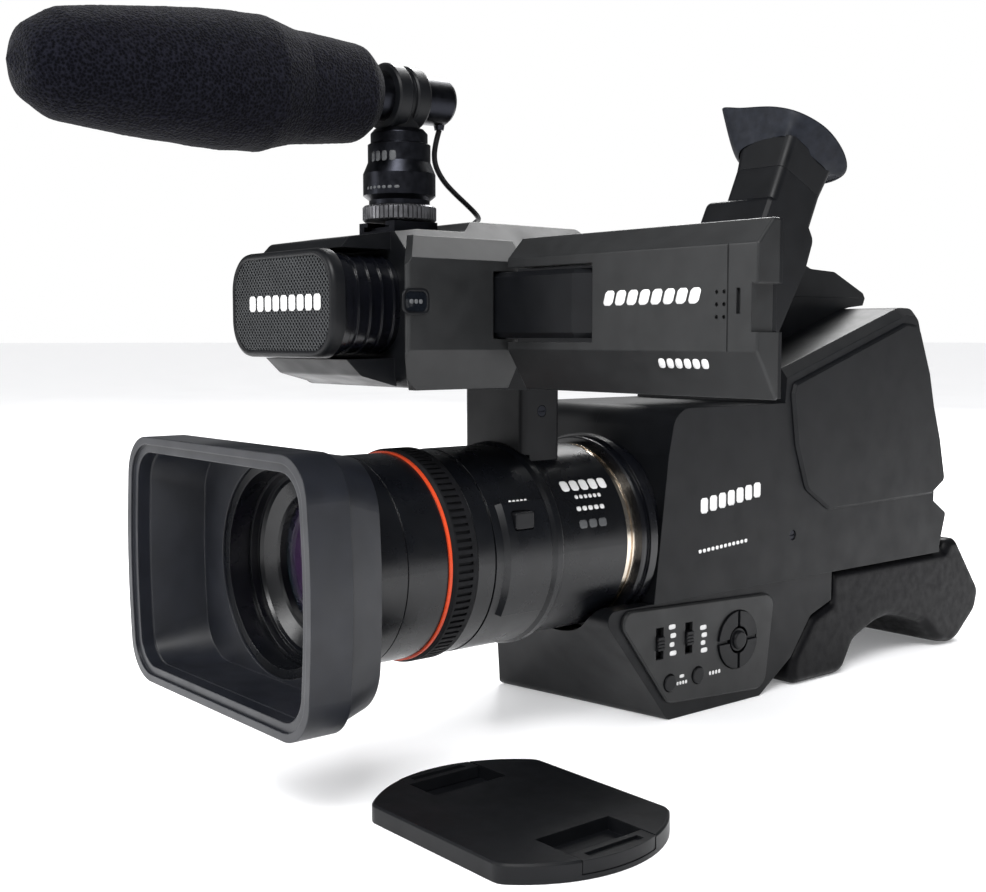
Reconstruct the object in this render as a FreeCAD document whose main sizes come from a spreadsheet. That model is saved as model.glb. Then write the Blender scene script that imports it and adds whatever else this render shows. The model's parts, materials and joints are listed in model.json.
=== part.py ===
import FreeCAD, Part
import math
import os

import Sketcher
from FreeCAD import Placement, Rotation, Vector

# Shoulder camcorder with microphone, viewfinder, swing-out screen and loose lens cap.
# Millimetres. X to the operator's left, -Y is the lens end, Z up, floor at z = 0.
# The lens axis is x = 0; the origin is the tripod socket in the underside.

DIMS = {
    # lens
    "lens_z": 87.7, "hood_front": -250, "hood_half_w": 75.5, "hood_half_h": 52.7,
    "hood_shell_len": 18, "hood_collar_len": 17, "tube_rad": 44.8, "sleeve_rad": 40.8,
    "focus_front": -163.7, "focus_len": 13.4, "focus_rad": 46.6, "focus_ribs": 90,
    "barrel_front": -150, "barrel_rear": -101, "barrel_rad": 45.5, "saddle_rad": 47.6,
    "rear_tube_end": -61, "mount_face": -50.4, "glass_rad": 29.5,
    # body
    "body_left": 46, "body_right": -58, "split_x": -6, "wall": 2.5, "body_floor": 57.5,
    "body_front": -45, "deck_z": 149, "box_front": 52, "box_slope": 0.3167,
    "box_end": 168, "body_end": 199, "cover_thick": 2,
    # control block and pad
    "chin_top": 57.4, "chin_left": 44.5, "chin_right": -58, "panel_thick": 2,
    "pad_left": 45, "pad_right": -57, "button_travel": 0.6,
    # handle
    "grip_left": 12, "grip_right": -24, "handle_split": 205, "handle_top": 231, "core_top": 226,
    "core_left": 40, "core_right": -38, "post_half": 21,
    # microphone unit and grille
    "mic_z": 195.5, "grille_half_w": 39.2, "grille_half_h": 21.5, "grille_front": -217,
    # screen
    "hinge_x": 54.5, "hinge_y": -145.5, "twist_z": 195, "lcd_thick": 13, "lcd_start": 66,
    "lcd_end": 191, "lcd_bottom": 161.5, "lcd_top": 221.5, "yoke_end": 113.3, "yoke_half": 13,
    # viewfinder
    "vf_left": 58, "vf_right": 15, "vf_tilt": 25, "vf_pivot_y": 34, "vf_pivot_z": 216,
    "vf_mid_x": 42.8, "vf_seam_y": 44.7, "vf_seam_z": 258.2, "vf_half_w": 15.2, "vf_half_d": 17,
    # shotgun microphone
    "stem_y": -157, "wheel_rad": 15.8, "gun_tilt": 1.85, "gun_rad": 10.2, "gun_z": 283.8, "stem_top": 270.4,
    "cable_rad": 1.2,
    # lens cap
    "cap_x": 101.3, "cap_y": -176, "cap_rad": 56, "cap_half": 42, "cap_thick": 7,
}

doc = FreeCAD.newDocument("camcorder")
sheet = doc.addObject("Spreadsheet::Sheet", "Dims")
for row, (alias, number) in enumerate(DIMS.items(), start=1):
    sheet.set(f"A{row}", alias)
    sheet.set(f"B{row}", str(number))
    sheet.setAlias(f"B{row}", alias)
doc.recompute()

parts = []


def dim(alias):
    return float(sheet.get(alias))


# ---------------------------------------------------------------- helpers

def keep(obj, label):
    """Label a finished sub-part and put it on the export list."""
    obj.Label = label
    parts.append(obj)
    return obj


def new_body(name, x=0, y=0, z=0, turn=None):
    body = doc.addObject("PartDesign::Body", name)
    body.Placement = Placement(Vector(x, y, z), turn or Rotation())
    return body


def corner_arc(before, corner, after, radius):
    """Start, middle and end of the arc that rounds a corner, or None where it is sharp."""
    a = (before - corner).normalize()
    b = (after - corner).normalize()
    half = math.acos(max(-1, min(1, a.dot(b)))) / 2
    reach = radius / math.tan(half)
    middle = (a + b).normalize()
    centre = corner + middle * (radius / math.sin(half))
    return corner + a * reach, centre - middle * radius, corner + b * reach


def outline_edges(points):
    """Lines and arcs round a closed outline of (x, y) or (x, y, corner radius)."""
    corners = [Vector(p[0], p[1], 0) for p in points]
    radii = [p[2] if len(p) > 2 else 0 for p in points]
    count = len(points)
    arcs = []
    for i in range(count):
        here = corners[i]
        if radii[i] > 0:
            arcs.append(corner_arc(corners[i - 1], here, corners[(i + 1) % count], radii[i]))
        else:
            arcs.append((here, None, here))
    edges = []
    for i in range(count):
        start, middle, end = arcs[i]
        if middle is not None:
            edges.append(Part.Arc(start, middle, end))
        following = arcs[(i + 1) % count][0]
        if (following - end).Length > 1e-4:
            edges.append(Part.LineSegment(end, following))
    return edges


def draw(body, role, *outlines, offset=0):
    """A sketch on one of the body's own origin planes; an outline may be a circle (x, y, 'r', radius)."""
    sketch = body.newObject("Sketcher::SketchObject", body.Name + "_sketch")
    plane = next(f for f in body.Origin.OriginFeatures if f.Role == role)
    sketch.AttachmentSupport = [(plane, "")]
    sketch.MapMode = "FlatFace"
    sketch.AttachmentOffset = Placement(Vector(0, 0, offset), Rotation())
    for outline in outlines:
        if len(outline) == 4 and outline[2] == "r":
            centre = Vector(outline[0], outline[1], 0)
            sketch.addGeometry(Part.Circle(centre, Vector(0, 0, 1), outline[3]))
        else:
            for edge in outline_edges(outline):
                sketch.addGeometry(edge)
    sketch.Visibility = False
    return sketch


def pad(body, sketch, length, middle=False, reverse=False):
    feature = body.newObject("PartDesign::Pad", body.Name + "_pad")
    feature.Profile = sketch
    set_size(feature, "Length", length)
    feature.Midplane = middle
    feature.Reversed = reverse
    return feature


def pocket(body, sketch, length, middle=False, reverse=False):
    """Cut a sketch out of the body; stop if it takes nothing away."""
    doc.recompute()
    before = body.Shape.Volume
    feature = body.newObject("PartDesign::Pocket", body.Name + "_pocket")
    feature.Profile = sketch
    set_size(feature, "Length", length)
    feature.Midplane = middle
    feature.Reversed = reverse
    doc.recompute()
    if body.Shape.Volume > before - 1e-3:
        raise RuntimeError(f"{body.Name}: a pocket cut nothing")
    return feature


def revolve(body, sketch, axis="V_Axis", angle=360, cut=False):
    kind = "PartDesign::Groove" if cut else "PartDesign::Revolution"
    feature = body.newObject(kind, body.Name + "_turn")
    feature.Profile = sketch
    feature.ReferenceAxis = (sketch, [axis])
    feature.Angle = angle
    feature.Midplane = angle < 360
    return feature


def set_size(feature, prop, value):
    """Bind a length to an expression on the sheet, or set a plain number."""
    if isinstance(value, str):
        feature.setExpression(prop, value)
    else:
        setattr(feature, prop, value)


def box_outline(x0, y0, x1, y1, radius=0):
    return [(x0, y0, radius), (x1, y0, radius), (x1, y1, radius), (x0, y1, radius)]


def chosen_edges(shape, test):
    return [f"Edge{i + 1}" for i, edge in enumerate(shape.Edges) if test(edge)]


def dress(body, kind, size, test):
    """Fillet or chamfer the edges of the body that pass the test."""
    doc.recompute()
    names = chosen_edges(body.Shape, test)
    if not names:
        raise RuntimeError(f"{body.Name}: no edge to dress")
    base = body.Tip
    feature = body.newObject("PartDesign::" + kind, body.Name + "_" + kind.lower())
    feature.Base = (base, names)
    if kind == "Fillet":
        feature.Radius = size
    else:
        feature.Size = size
    doc.recompute()
    if "Invalid" in feature.State or feature.Shape.isNull() or not feature.Shape.isValid():
        raise RuntimeError(f"{body.Name}: {kind} failed")
    return feature


def turned(label, profile, role="XY_Plane", x=0, y=0, z=None):
    """A piece turned about the lens axis, or about Z on the XZ plane; profile is (radius, station)."""
    body = new_body(label, x, y, dim("lens_z") if z is None else z)
    revolve(body, draw(body, role, profile))
    return keep(body, label)


def solid(kind, name, **sizes):
    """A Part primitive whose sizes may be numbers or sheet expressions."""
    obj = doc.addObject("Part::" + kind, name)
    for prop, value in sizes.items():
        if prop == "at":
            obj.Placement = Placement(Vector(*value), sizes.get("turn", Rotation()))
        elif prop != "turn":
            set_size(obj, prop, value)
    obj.Visibility = False
    return obj


def block(name, low, high):
    return solid("Box", name, Length=high[0] - low[0], Width=high[1] - low[1],
                 Height=high[2] - low[2], at=low)


def rod(name, radius, length, at, axis="z"):
    turns = {"x": Rotation(Vector(0, 1, 0), 90), "y": Rotation(Vector(1, 0, 0), -90), "z": Rotation()}
    return solid("Cylinder", name, Radius=radius, Height=length, at=at, turn=turns[axis])


def cut(name, base, *tools):
    """Base minus one or more tools."""
    tool = tools[0]
    if len(tools) > 1:
        tool = fuse(name + "_tools", *tools)
    obj = doc.addObject("Part::Cut", name)
    obj.Base = base
    obj.Tool = tool
    return obj


def fuse(name, *shapes):
    obj = doc.addObject("Part::MultiFuse", name)
    obj.Shapes = list(shapes)
    obj.Refine = True
    return obj


def common(name, first, second):
    obj = doc.addObject("Part::Common", name)
    obj.Base = first
    obj.Tool = second
    return obj


def prism(name, role, outline, length, offset=0, middle=False, place=(0, 0, 0)):
    """A padded outline as a body of its own, for booleans."""
    body = new_body(name, *place)
    outlines = outline if isinstance(outline[0], list) else [outline]
    pad(body, draw(body, role, *outlines, offset=offset), length, middle=middle)
    return body


def loft(body, sketches, removing=False):
    kind = "PartDesign::SubtractiveLoft" if removing else "PartDesign::AdditiveLoft"
    feature = body.newObject(kind, body.Name + "_loft")
    feature.Profile = sketches[0]
    feature.Sections = sketches[1:]
    return feature


def inset(points, wall):
    """The same counter-clockwise outline moved inwards by the wall."""
    corners = [Vector(p[0], p[1], 0) for p in points]
    radii = [p[2] if len(p) > 2 else 0 for p in points]
    lines = []
    for i, here in enumerate(corners):
        along = (corners[(i + 1) % len(corners)] - here).normalize()
        lines.append((here + Vector(-along.y, along.x, 0) * wall, along))
    moved = []
    for i in range(len(corners)):
        (p, u), (q, v) = lines[i - 1], lines[i]
        gap = q - p
        reach = (gap.x * v.y - gap.y * v.x) / (u.x * v.y - u.y * v.x)
        spot = p + u * reach
        moved.append((spot.x, spot.y, max(radii[i] - wall, 0)))
    return moved


# ---------------------------------------------------------------- lens

def bulged(half_w, half_h, corner, bulge, swell):
    """A rounded rectangle whose sides bow outwards."""
    side = half_w - bulge
    return [(side, -half_h, corner), (half_w, 0, swell), (side, half_h, corner),
            (-side, half_h, corner), (-half_w, 0, swell), (-side, -half_h, corner)]


def make_hood():
    body = new_body("lens_hood", z=dim("lens_z"))
    front = -dim("hood_front")
    wide, high = dim("hood_half_w") + 0.5, dim("hood_half_h")
    pad(body, draw(body, "XZ_Plane", bulged(wide, high, 18, 4.5, 300), offset=front),
        "Dims.hood_shell_len", reverse=True)
    step = front - dim("hood_shell_len")
    rear = step - dim("hood_collar_len")
    loft(body, [draw(body, "XZ_Plane", bulged(wide - 1.6, high - 1.4, 18, 4.5, 300), offset=step),
                draw(body, "XZ_Plane", bulged(wide - 6.5, high - 3.2, 22, 4.5, 300), offset=rear)])
    # rim: a shallow step, then the funnel down to the round throat
    pocket(body, draw(body, "XZ_Plane", bulged(wide - 3.4, high - 3.2, 15.5, 4.3, 300), offset=front), 1.2)
    pocket(body, draw(body, "XZ_Plane", bulged(wide - 7.2, high - 6.6, 13, 4, 300), offset=front), 7)
    back = front - 30
    loft(body, [draw(body, "XZ_Plane", bulged(wide - 7.6, high - 7, 13, 4, 300), offset=front - 6.5),
                draw(body, "XZ_Plane", bulged(62, 46, 20, 3, 200), offset=back)], removing=True)
    pocket(body, draw(body, "XZ_Plane", (0, 0, "r", dim("tube_rad") + 0.2), offset=back + 1), 40)
    return keep(body, "lens_hood")


def make_front_tube():
    out, inner = dim("tube_rad"), dim("sleeve_rad") + 0.2
    end = dim("focus_front") - 1.7
    seam = -185.8
    return turned("lens_front_tube", [
        (inner, -219), (out, -219), (out, seam - 0.3), (out - 0.5, seam - 0.3), (out - 0.5, seam + 0.3),
        (out, seam + 0.3), (out, end), (inner, end)])


def make_accent_ring():
    inner = dim("sleeve_rad") + 0.2
    front = dim("focus_front") - 1.7
    return turned("accent_ring", [(inner, front), (45.6, front), (45.6, front + 1.4), (inner, front + 1.4)])


def make_focus_ring():
    """Rubber-covered ring with a rib every few degrees; it turns on the barrel's sleeve."""
    front, length = dim("focus_front"), dim("focus_len")
    out, inner = dim("focus_rad"), dim("sleeve_rad") + 0.3
    ring = turned("focus_ring", [
        (inner, front), (out - 1.2, front), (out, front + 1.2), (out, front + length - 1.2),
        (out - 1.2, front + length), (inner, front + length)])
    ribs = int(dim("focus_ribs"))
    doc.recompute()
    valley = box_outline(-0.7, out - 1.1, 0.7, out + 2)
    groove = pocket(ring, draw(ring, "XZ_Plane", valley, offset=-front - 2.2), length - 5.8)
    pattern = ring.newObject("PartDesign::PolarPattern", "focus_ribs")
    pattern.Originals = [groove]
    pattern.Axis = (next(f for f in ring.Origin.OriginFeatures if f.Role == "Y_Axis"), [""])
    pattern.Angle = 360
    pattern.Occurrences = ribs
    ring.Tip = pattern
    return ring


def make_barrel():
    """Sleeve, barrel and the raised saddle that carries the function button."""
    sleeve, out = dim("sleeve_rad"), dim("barrel_rad")
    front, rear = dim("barrel_front"), dim("barrel_rear")
    body = new_body("lens_barrel", z=dim("lens_z"))
    revolve(body, draw(body, "XY_Plane", [
        (36, -194.5), (sleeve, -194.5), (sleeve, front), (out - 0.3, front), (out - 0.3, front + 9),
        (out - 0.9, front + 9), (out - 0.9, front + 9.6), (out, front + 9.6), (out, rear - 7.5),
        (out + 1.1, rear - 5.5), (out + 1.1, rear - 2, 1), (out - 1.3, rear, 1), (36, rear)]))
    saddle = dim("saddle_rad")
    revolve(body, draw(body, "XY_Plane", [
        (out - 2, front + 13.6), (out, front + 13.6), (saddle, front + 15.6), (saddle, rear - 10),
        (out, rear - 8), (out - 2, rear - 8)]), angle=62)
    pocket(body, draw(body, "YZ_Plane", box_outline(-130.8, 12.6, -119.6, 20.8, 1.5), offset=60), 30,
           reverse=False)
    return keep(body, "lens_barrel")


def make_function_button():
    """Key in the saddle; pressed towards the lens axis."""
    body = new_body("function_button", z=dim("lens_z"))
    pad(body, draw(body, "YZ_Plane", box_outline(-130.4, 13, -120, 20.4, 1.2), offset=39), 7.2)
    dress(body, "Fillet", 0.7, lambda e: abs(e.BoundBox.XMin - 46.2) < 0.01 and e.BoundBox.XLength < 0.01)
    return keep(body, "function_button")


def make_rear_lens():
    out = dim("barrel_rad") - 1.5
    start, end = dim("barrel_rear"), dim("rear_tube_end")
    turned("lens_rear_tube", [(38, start), (out, start), (out, end), (38, end)])
    edge = end + 7.6
    face = dim("body_front") - 0.1
    turned("chrome_ring", [
        (38, end), (out - 0.9, end), (out - 0.9, end + 3.2), (out - 1.7, end + 3.2),
        (out - 1.7, end + 4.2), (out - 0.6, end + 4.2), (out - 0.6, edge), (38, edge)])
    turned("lens_mount_bezel", [
        (38, edge), (46, edge), (46.6, edge + 1), (46.6, edge + 3.9), (48, edge + 3.9),
        (48, face), (44, face), (44, -34), (38, -34)])


def make_front_glass():
    rad = dim("glass_rad")
    turned("name_ring", [
        (40.8, -209.5), (40.8, -195), (29.7, -195), (29.7, -200.5), (30.6, -201.5), (36.5, -204.6),
        (37.4, -206), (39.2, -206), (39.2, -209.5)])
    turned("front_lens", [(0, -203), (rad * 0.54, -203, 60), (rad, -197.4), (rad, -195), (0, -195)])


# ---------------------------------------------------------------- body

def body_outline():
    """Side of the body with the sloping rear box, front to back along the floor, then over the top."""
    y, z, slope = dim("box_front"), dim("deck_z"), dim("box_slope")
    top = z + 17.5
    rear = top + slope * (154 - y)
    floor = dim("body_floor")
    return [(dim("body_front"), floor), (195, floor), (195, 61), (201, 80, 2), (188, 88), (188, 94),
            (dim("body_end"), 100, 3), (190, 135), (182, 166), (170, rear - 0.5, 10), (154, rear, 20),
            (y - 0.5, top), (y - 2, z), (-31, z, 12), (-36, 127)]


def body_shell(name, inner_x, outer_x):
    """One half of the body: padded from the split to the side, hollowed from the split face."""
    left = outer_x > inner_x
    body = new_body(name, x=inner_x)
    outline = body_outline()
    width = abs(outer_x - inner_x)
    pad(body, draw(body, "YZ_Plane", outline), width, reverse=not left)
    side = outer_x
    dress(body, "Chamfer", 4.5, lambda e: abs(e.BoundBox.Center.x - side) < 0.01 and
          e.BoundBox.XLength < 0.01 and e.BoundBox.ZMin > 165 and e.BoundBox.YLength > 50)
    wall = dim("wall")
    pocket(body, draw(body, "YZ_Plane", inset(outline, wall)), width - wall, reverse=left)
    return body


def lens_bore(name, radius, start, end):
    return rod(name, radius, end - start, (0, start, dim("lens_z")), "y")


def make_body_shells():
    split = dim("split_x")
    left = body_shell("left_half", split, dim("body_left"))
    right = body_shell("right_half", split, dim("body_right"))
    bore = lens_bore("bore_left", 44.1, -60, -30)
    plug = rod("case_screw_left", 2.6, 6, (42, 58, 80.6), "x")
    left_shell = cut("body_left_cut", left, bore, plug)
    keep(left_shell, "body_shell_left")
    tools = [lens_bore("bore_right", 44.1, -60, -30),
             block("card_recess", (-60, 70, 101), (-56.8, 122, 132)),
             block("card_slot_low", (-60, 76, 109), (-54, 102, 112.5)),
             block("card_slot_high", (-60, 76, 120), (-54, 102, 123.5)),
             block("battery_mouth", (-48, 184, 104), (-12, 205, 160))]
    right_shell = cut("body_right_cut", right, *tools)
    keep(right_shell, "body_shell_right")


def cover_outline():
    """Raised panel on the left side of the box."""
    slope = dim("box_slope")
    return [(54, 153.5, 2), (58, 127), (67, 103.5, 9), (87, 91.2, 9), (184, 92.5, 3), (193.5, 99.5, 3),
            (187, 132), (179, 162), (167, 189, 8), (154, 190, 10), (56, 190 - slope * 98, 3)]


def make_side_cover():
    body = new_body("rear_side_cover", x=dim("body_left"))
    pad(body, draw(body, "YZ_Plane", cover_outline()), "Dims.cover_thick")
    face = dim("body_left") + dim("cover_thick")
    dress(body, "Chamfer", 1.4, lambda e: abs(e.BoundBox.XMin - face) < 0.01 and e.BoundBox.XLength < 0.01)
    return keep(body, "rear_side_cover")


# ---------------------------------------------------------------- control block

# centre (y, z) of each control on the left face of the block
SWITCHES = {"iris_switch": (-41.5, 38.6), "gain_switch": (-21.3, 38.5)}
KEYS = {"menu_key": (-34.3, 18.6), "display_key": (-14.5, 19.2)}
RING_AT = (14.5, 32.5)


def chin_outline(foot, brow):
    """Side of the control block; its front edge runs from the foot on the floor up to the brow."""
    return [(foot, -0.6, 7), (34, -0.6, 8), (60, 16, 6), (76, 36, 6), (94, 42), (94, 57.4), (brow, 57.4, 5)]


def panel_outline():
    return [(-35, 8.5, 7), (37, 4, 8), (44, 52.5, 7), (-72, 57, 6)]


def make_control_block():
    left, right = dim("chin_left"), dim("chin_right")
    body = new_body("chin", x=right)
    loft(body, [draw(body, "YZ_Plane", chin_outline(-52, -70)),
                draw(body, "YZ_Plane", chin_outline(-33, -79), offset=left - right)])
    hollow = prism("chin_hollow", "YZ_Plane", inset(chin_outline(-35, -79)[:5] + [(94, 70), (-76, 70)],
                                                    5), 76,
                   place=(-50, 0, 0))
    controls = prism("control_recess", "YZ_Plane", inset(panel_outline(), 1.5), 14, place=(left - 12, 0, 0))
    corner = prism("chin_corner", "XY_Plane", [(right - 2, -50), (right + 1, -53), (right + 13, -66),
                                               (right + 13, -95), (right - 2, -95)], 70, place=(0, 0, -5))
    tools = [hollow, controls, corner,
             lens_bore("cradle_front", 46.7, -90, -53),
             lens_bore("cradle_rear", 48.3, -54, -44),
             lens_bore("cradle_spigot", 44.3, -46, -30),
             block("floor_cut", (-80, -100, -5), (80, 100, 0)),
             block("plate_seat", (-20.2, -20.2, -1), (20.2, 30.2, 3.05)),
             rod("boss_seat", 8.2, 12, (0, 0, 0))]
    keep(cut("chin_cut", body, *tools), "control_block")


def key_hole(name, y, z, radius):
    return rod(name, radius, 12, (dim("chin_left") - 4, y, z), "x")


def make_control_panel():
    left, thick = dim("chin_left"), dim("panel_thick")
    body = new_body("panel_plate", x=left)
    pad(body, draw(body, "YZ_Plane", panel_outline()), "Dims.panel_thick")
    face = left + thick
    dress(body, "Chamfer", 0.8, lambda e: abs(e.BoundBox.XMin - face) < 0.01 and e.BoundBox.XLength < 0.01)
    tools = []
    for name, (y, z) in SWITCHES.items():
        tools.append(block(name + "_slot", (left - 1, y - 2.6, z - 7.6), (face + 1, y + 2.6, z + 7.6)))
    for name, (y, z) in KEYS.items():
        tools.append(key_hole(name + "_hole", y, z, 4.35))
    tools.append(key_hole("ring_hole", *RING_AT, 14.8))
    keep(cut("panel_cut", body, *tools), "control_panel")


def make_controls():
    left = dim("chin_left")
    for name, (y, z) in SWITCHES.items():
        knob = block(name + "_knob", (left - 1.2, y - 2.3, z - 3.2), (left + 3.4, y + 2.3, z + 3.2))
        slide = block(name + "_slide", (left - 3.2, y - 3.6, z - 6.5), (left - 1.2, y + 3.6, z + 6.5))
        ribs = [block(f"{name}_rib{i}", (left + 2.9, y - 3, z + dz - 0.35),
                      (left + 3.6, y + 3, z + dz + 0.35))
                for i, dz in enumerate((-1.6, 0, 1.6))]
        keep(cut(name, fuse(name + "_body", knob, slide), *ribs), name)
    for name, (y, z) in KEYS.items():
        body = new_body(name, x=left - 3, y=y, z=z)
        pad(body, draw(body, "YZ_Plane", (0, 0, "r", 4)), 5.9)
        pad(body, draw(body, "YZ_Plane", (0, 0, "r", 4.9)), 1.6)
        top = left + 2.9
        dress(body, "Fillet", 0.6,
              lambda e: abs(e.BoundBox.XMin - top) < 0.01 and e.BoundBox.XLength < 0.01)
        keep(body, name)
    make_four_way(left)


def make_four_way(left):
    """Four arc keys on one rocking ring, and the stick in its middle."""
    y, z = RING_AT
    body = new_body("four_way_ring", x=left - 2.6, y=y, z=z)
    pad(body, draw(body, "YZ_Plane", (0, 0, "r", 14.4), (0, 0, "r", 6.9)), 5.7)
    pad(body, draw(body, "YZ_Plane", (0, 0, "r", 16), (0, 0, "r", 6.9)), 1.4)
    cross = draw(body, "YZ_Plane", [(-20, -1), (-1, -1), (-1, -20), (1, -20), (1, -1), (20, -1), (20, 1),
                                    (1, 1),
                                    (1, 20), (-1, 20), (-1, 1), (-20, 1)], offset=6)
    pocket(body, cross, 1.8)
    keep(body, "four_way_ring")
    stick = new_body("centre_stick", x=left - 2.6, y=y, z=z)
    pad(stick, draw(stick, "YZ_Plane", (0, 0, "r", 5.7)), 5.4)
    pad(stick, draw(stick, "YZ_Plane", (0, 0, "r", 4.6)), 7.2)
    top = left + 4.6
    dress(stick, "Fillet", 1.1, lambda e: abs(e.BoundBox.XMin - top) < 0.01 and e.BoundBox.XLength < 0.01)
    keep(stick, "centre_stick")


# ---------------------------------------------------------------- underside

def make_tripod_plate():
    plate = block("plate_slab", (-20, -20, 0), (20, 30, 3))
    boss = rod("plate_boss", 8, 11, (0, 0, 0))
    thread = rod("socket_bore", 3.175, 9.5, (0, 0, -0.5))
    pin = rod("pin_bore", 2.25, 4, (0, 20, -0.5))
    keep(cut("plate_cut", fuse("plate_body", plate, boss), thread, pin), "tripod_plate")


def pad_outline():
    """Shoulder pad: front foot, arch over the shoulder, and rear foot with its raised cap."""
    return [(59.5, 0, 7), (106, 0, 8), (116, 16, 8), (147, 28, 50), (184, 17, 12), (200, 3, 12),
            (218, 0, 14), (240, 17, 10), (244, 30, 9), (217, 63.5, 5), (207, 63.5, 4), (203.5, 57.4, 1),
            (96, 57.4), (96, 41.2), (78, 35.2, 4), (62, 15.2, 5)]


def make_shoulder_pad():
    left, right = dim("pad_left"), dim("pad_right")
    body = new_body("shoulder_pad", x=right)
    pad(body, draw(body, "YZ_Plane", pad_outline()), left - right)
    for side in (left, right):
        dress(body, "Chamfer", 3.2, lambda e, side=side: abs(e.BoundBox.Center.x - side) < 0.01 and
              e.BoundBox.XLength < 0.01 and (e.BoundBox.ZMax < 41 or e.BoundBox.YMin > 206))
    keep(body, "shoulder_pad")


# ---------------------------------------------------------------- inside the body

def make_insides():
    board = block("board_slab", (33, -20, 64), (34.6, 150, 138))
    chips = [block(f"chip{i}", (30.6, y, 84), (33, y + 18, 102)) for i, y in enumerate((0, 40, 80))]
    keep(fuse("board_all", board, *chips), "main_board")
    housing = block("sensor_box", (-23, -33.5, 64), (23, -14, 112))
    collar = rod("sensor_collar", 30, 6, (0, -39.5, dim("lens_z")), "y")
    keep(fuse("sensor_all", housing, collar), "sensor_block")
    pack = new_body("battery_pack", x=-46)
    pad(pack, draw(pack, "YZ_Plane", box_outline(110, 106, 181, 156, 3)), 32)
    keep(pack, "battery_pack")
    make_doors()


def make_doors():
    """Battery door on the sloping rear face and card door on the right side, each with its hinge barrel."""
    tilt = Rotation(Vector(1, 0, 0), math.degrees(math.atan2(9, 35)))
    door = new_body("battery_door", x=-30, y=198.6, z=101.5, turn=tilt)
    pad(door, draw(door, "XZ_Plane", box_outline(-20, 4.6, 20, 58, 3), offset=-2.9), 2.6)
    pad(door, draw(door, "YZ_Plane", (2.6, 1.6, "r", 2.1)), 36, middle=True)
    pad(door, draw(door, "XZ_Plane", box_outline(-17.8, 1.6, 17.8, 6), offset=-2.9), 2.4)
    keep(door, "battery_door")
    card = new_body("card_door", x=-61, y=96, z=100)
    pad(card, draw(card, "YZ_Plane", box_outline(-27.4, 2.4, 29, 35, 3), offset=0.4), 2.2)
    pad(card, draw(card, "XZ_Plane", (1.1, 0, "r", 1.6)), 48, middle=True)
    pad(card, draw(card, "YZ_Plane", box_outline(-24, 0, 24, 4), offset=0.4), 1.5)
    keep(card, "card_door")


# ---------------------------------------------------------------- handle

def deck_line(y):
    """Height of the sloping box top."""
    return dim("deck_z") + 17.5 + dim("box_slope") * (y - dim("box_front") + 0.5)


JACK_AT = (-89.5, 212)
RING_PIVOT = (-11, 178, 206)


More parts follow.
